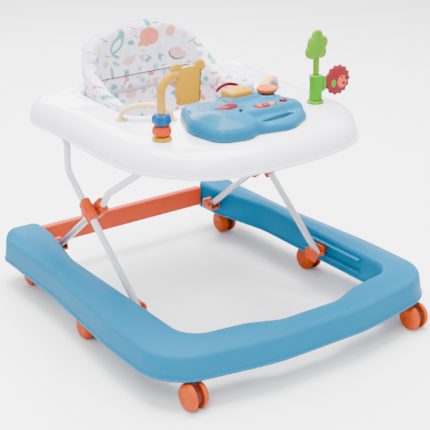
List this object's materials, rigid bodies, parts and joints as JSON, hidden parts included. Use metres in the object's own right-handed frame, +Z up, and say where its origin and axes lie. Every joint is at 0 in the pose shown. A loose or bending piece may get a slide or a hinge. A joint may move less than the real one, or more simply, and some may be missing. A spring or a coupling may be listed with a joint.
{
  "type": "baby walker",
  "caption": "Baby walker with a U-shaped base on swivel casters, a folding crossed-tube frame, a moulded tray with toys and grips, and a fabric seat.",
  "frame": {"origin": "on the floor under the middle of the base, at the centre of the bounding box's underside", "axes": "+Z up, -Y towards the front, where the tray's toys are; +X to the right of a viewer who faces the rear from the front, the side of the tree post"},
  "size_m": [0.62, 0.6903, 0.5427],
  "materials": {
    "blue_plastic": "moulded, smooth semi-gloss",
    "coral_plastic": "moulded, glossy",
    "coral_red_plastic": "moulded, satin",
    "cream_plastic": "moulded, satin",
    "deep_blue_plastic": "moulded, glossy",
    "green_plastic": "moulded, semi-gloss",
    "orange_plastic": "moulded, smooth semi-gloss",
    "painted_tube": "powder coated, glossy",
    "pink_plastic": "moulded, glossy",
    "red_plastic": "moulded, glossy",
    "seat_fabric": "woven polyester over thin foam",
    "steel": "bright",
    "wheel_plastic": "moulded hard wheels, semi-gloss",
    "white_plastic": "moulded, glossy",
    "yellow_plastic": "moulded, glossy"
  },
  "bodies": {
    "base": {"base_shell": "blue_plastic", "rear_crossbar": "orange_plastic", "rear_foot_bracket_left": "orange_plastic", "rear_foot_bracket_right": "orange_plastic"},
    "inner_leg": {"inner_leg_tube": "painted_tube", "inner_pivot_clip_left": "orange_plastic", "inner_pivot_clip_right": "orange_plastic", "pivot_pin_left": "steel", "pivot_pin_right": "steel"},
    "outer_leg": {"outer_leg_tube": "painted_tube", "outer_pivot_clip_left": "orange_plastic", "outer_pivot_clip_right": "orange_plastic"},
    "front_slider_left": {"front_foot_slider_left": "orange_plastic"},
    "front_slider_right": {"front_foot_slider_right": "orange_plastic"},
    "tray": {"tray_shell": "white_plastic", "tray_hinge_clamp_left": "white_plastic", "tray_hinge_clamp_right": "white_plastic", "tray_slide_rail_left": "white_plastic", "tray_slide_rail_right": "white_plastic", "height_lock_housing": "white_plastic", "seat_bag": "seat_fabric", "seat_back_pad": "seat_fabric", "backrest_board": "white_plastic", "panel_housing": "blue_plastic", "panel_floor_plate": "white_plastic", "roller_shaft": "steel", "tray_grip_left": "cream_plastic", "tray_grip_right": "cream_plastic", "arm_toy_stand": "yellow_plastic", "tree_post": "green_plastic"},
    "height_lock": {"height_lock_pawl": "orange_plastic"},
    "yellow_button": {"yellow_button": "yellow_plastic"},
    "red_button": {"red_button": "red_plastic"},
    "small_button": {"small_button": "red_plastic"},
    "dial": {"spinner_dial": "coral_plastic"},
    "roller_orange": {"roller_bead_orange": "orange_plastic"},
    "roller_pink": {"roller_bead_pink": "pink_plastic"},
    "roller_yellow": {"roller_bead_yellow": "yellow_plastic"},
    "bead_orange": {"stacking_bead_orange": "orange_plastic"},
    "bead_blue": {"stacking_bead_blue": "deep_blue_plastic"},
    "plate": {"swing_plate": "yellow_plastic"},
    "sleeve": {"spinning_sleeve": "green_plastic", "hedgehog_disc": "coral_red_plastic"},
    "caster_front_left": {"caster_swivel_front_left": "orange_plastic"},
    "wheels_front_left": {"twin_wheels_front_left": "wheel_plastic"},
    "caster_front_right": {"caster_swivel_front_right": "orange_plastic"},
    "wheels_front_right": {"twin_wheels_front_right": "wheel_plastic"},
    "caster_middle_left": {"caster_swivel_middle_left": "orange_plastic"},
    "wheels_middle_left": {"twin_wheels_middle_left": "wheel_plastic"},
    "caster_middle_right": {"caster_swivel_middle_right": "orange_plastic"},
    "wheels_middle_right": {"twin_wheels_middle_right": "wheel_plastic"},
    "caster_rear_left": {"caster_swivel_rear_left": "orange_plastic"},
    "wheels_rear_left": {"twin_wheels_rear_left": "wheel_plastic"},
    "caster_rear_right": {"caster_swivel_rear_right": "orange_plastic"},
    "wheels_rear_right": {"twin_wheels_rear_right": "wheel_plastic"}
  },
  "joints": [
    {"name": "fold", "type": "hinge", "parent": "base", "child": "inner_leg", "pos_m": [0, 0.26, 0.085], "axis": [1, 0, 0], "range_deg": [0, 28]},
    {"name": "middle_pivot", "type": "hinge", "parent": "inner_leg", "child": "outer_leg", "pos_m": [0, 0.098, 0.215], "axis": [1, 0, 0], "range_deg": [-56, 0]},
    {"name": "tray_tilt", "type": "hinge", "parent": "outer_leg", "child": "tray", "pos_m": [0, 0.268, 0.365], "axis": [1, 0, 0], "range_deg": [0, 28]},
    {"name": "front_slider_pivot_left", "type": "hinge", "parent": "outer_leg", "child": "front_slider_left", "pos_m": [-0.209, -0.064, 0.085], "axis": [1, 0, 0], "range_deg": [0, 28]},
    {"name": "front_slider_pivot_right", "type": "hinge", "parent": "outer_leg", "child": "front_slider_right", "pos_m": [0.209, -0.064, 0.085], "axis": [1, 0, 0], "range_deg": [0, 28]},
    {"name": "caster_turn_front_left", "type": "hinge", "parent": "base", "child": "caster_front_left", "pos_m": [-0.25, -0.294, 0.0525], "axis": [0, 0, 1], "continuous": true},
    {"name": "wheel_spin_front_left", "type": "hinge", "parent": "caster_front_left", "child": "wheels_front_left", "pos_m": [-0.25, -0.308, 0.025], "axis": [1, 0, 0], "continuous": true},
    {"name": "caster_turn_front_right", "type": "hinge", "parent": "base", "child": "caster_front_right", "pos_m": [0.25, -0.294, 0.0525], "axis": [0, 0, 1], "continuous": true},
    {"name": "wheel_spin_front_right", "type": "hinge", "parent": "caster_front_right", "child": "wheels_front_right", "pos_m": [0.25, -0.308, 0.025], "axis": [1, 0, 0], "continuous": true},
    {"name": "caster_turn_middle_left", "type": "hinge", "parent": "base", "child": "caster_middle_left", "pos_m": [-0.2625, 0.033, 0.0525], "axis": [0, 0, 1], "continuous": true},
    {"name": "wheel_spin_middle_left", "type": "hinge", "parent": "caster_middle_left", "child": "wheels_middle_left", "pos_m": [-0.2625, 0.019, 0.025], "axis": [1, 0, 0], "continuous": true},
    {"name": "caster_turn_middle_right", "type": "hinge", "parent": "base", "child": "caster_middle_right", "pos_m": [0.2625, 0.033, 0.0525], "axis": [0, 0, 1], "continuous": true},
    {"name": "wheel_spin_middle_right", "type": "hinge", "parent": "caster_middle_right", "child": "wheels_middle_right", "pos_m": [0.2625, 0.019, 0.025], "axis": [1, 0, 0], "continuous": true},
    {"name": "caster_turn_rear_left", "type": "hinge", "parent": "base", "child": "caster_rear_left", "pos_m": [-0.236, 0.3, 0.0525], "axis": [0, 0, 1], "continuous": true},
    {"name": "wheel_spin_rear_left", "type": "hinge", "parent": "caster_rear_left", "child": "wheels_rear_left", "pos_m": [-0.236, 0.286, 0.025], "axis": [1, 0, 0], "continuous": true},
    {"name": "caster_turn_rear_right", "type": "hinge", "parent": "base", "child": "caster_rear_right", "pos_m": [0.236, 0.3, 0.0525], "axis": [0, 0, 1], "continuous": true},
    {"name": "wheel_spin_rear_right", "type": "hinge", "parent": "caster_rear_right", "child": "wheels_rear_right", "pos_m": [0.236, 0.286, 0.025], "axis": [1, 0, 0], "continuous": true},
    {"name": "yellow_button_press", "type": "slide", "parent": "tray", "child": "yellow_button", "axis": [0, 0, -1], "range_m": [0, 0.003], "stiffness_N_per_m": 300, "springref_m": -0.006},
    {"name": "red_button_press", "type": "slide", "parent": "tray", "child": "red_button", "axis": [0, 0, -1], "range_m": [0, 0.003], "stiffness_N_per_m": 200, "springref_m": -0.006},
    {"name": "small_button_press", "type": "slide", "parent": "tray", "child": "small_button", "axis": [0, 0, -1], "range_m": [0, 0.003], "stiffness_N_per_m": 150, "springref_m": -0.006},
    {"name": "height_lock_lift", "type": "slide", "parent": "tray", "child": "height_lock", "axis": [0, 0, 1], "range_m": [0, 0.004], "stiffness_N_per_m": 150, "springref_m": -0.004},
    {"name": "dial_spin", "type": "hinge", "parent": "tray", "child": "dial", "pos_m": [0.083, -0.067, 0.432], "axis": [0, 0, 1], "continuous": true},
    {"name": "roller_spin_orange", "type": "hinge", "parent": "tray", "child": "roller_orange", "pos_m": [0.0228, -0.125, 0.4275], "axis": [1, 0, 0], "continuous": true},
    {"name": "roller_spin_pink", "type": "hinge", "parent": "tray", "child": "roller_pink", "pos_m": [0.036, -0.125, 0.4275], "axis": [1, 0, 0], "continuous": true},
    {"name": "roller_spin_yellow", "type": "hinge", "parent": "tray", "child": "roller_yellow", "pos_m": [0.0492, -0.125, 0.4275], "axis": [1, 0, 0], "continuous": true},
    {"name": "bead_spin_orange", "type": "hinge", "parent": "tray", "child": "bead_orange", "pos_m": [-0.173, -0.109, 0.4219], "axis": [0, 0, 1], "continuous": true},
    {"name": "bead_spin_blue", "type": "hinge", "parent": "tray", "child": "bead_blue", "pos_m": [-0.173, -0.109, 0.4418], "axis": [0, 0, 1], "continuous": true},
    {"name": "plate_swing", "type": "hinge", "parent": "tray", "child": "plate", "pos_m": [-0.142, -0.109, 0.517], "axis": [1, 0, 0], "range_deg": [-60, 60]},
    {"name": "sleeve_turn", "type": "hinge", "parent": "tray", "child": "sleeve", "pos_m": [0.173, -0.098, 0.405], "axis": [0, 0, 1], "range_deg": [-120, 120]}
  ],
  "couplings": [
    {"joint": "middle_pivot", "follows": "fold", "ratio": -2},
    {"joint": "tray_tilt", "follows": "fold", "ratio": 1},
    {"joint": "front_slider_pivot_left", "follows": "fold", "ratio": 1},
    {"joint": "front_slider_pivot_right", "follows": "fold", "ratio": 1}
  ]
}
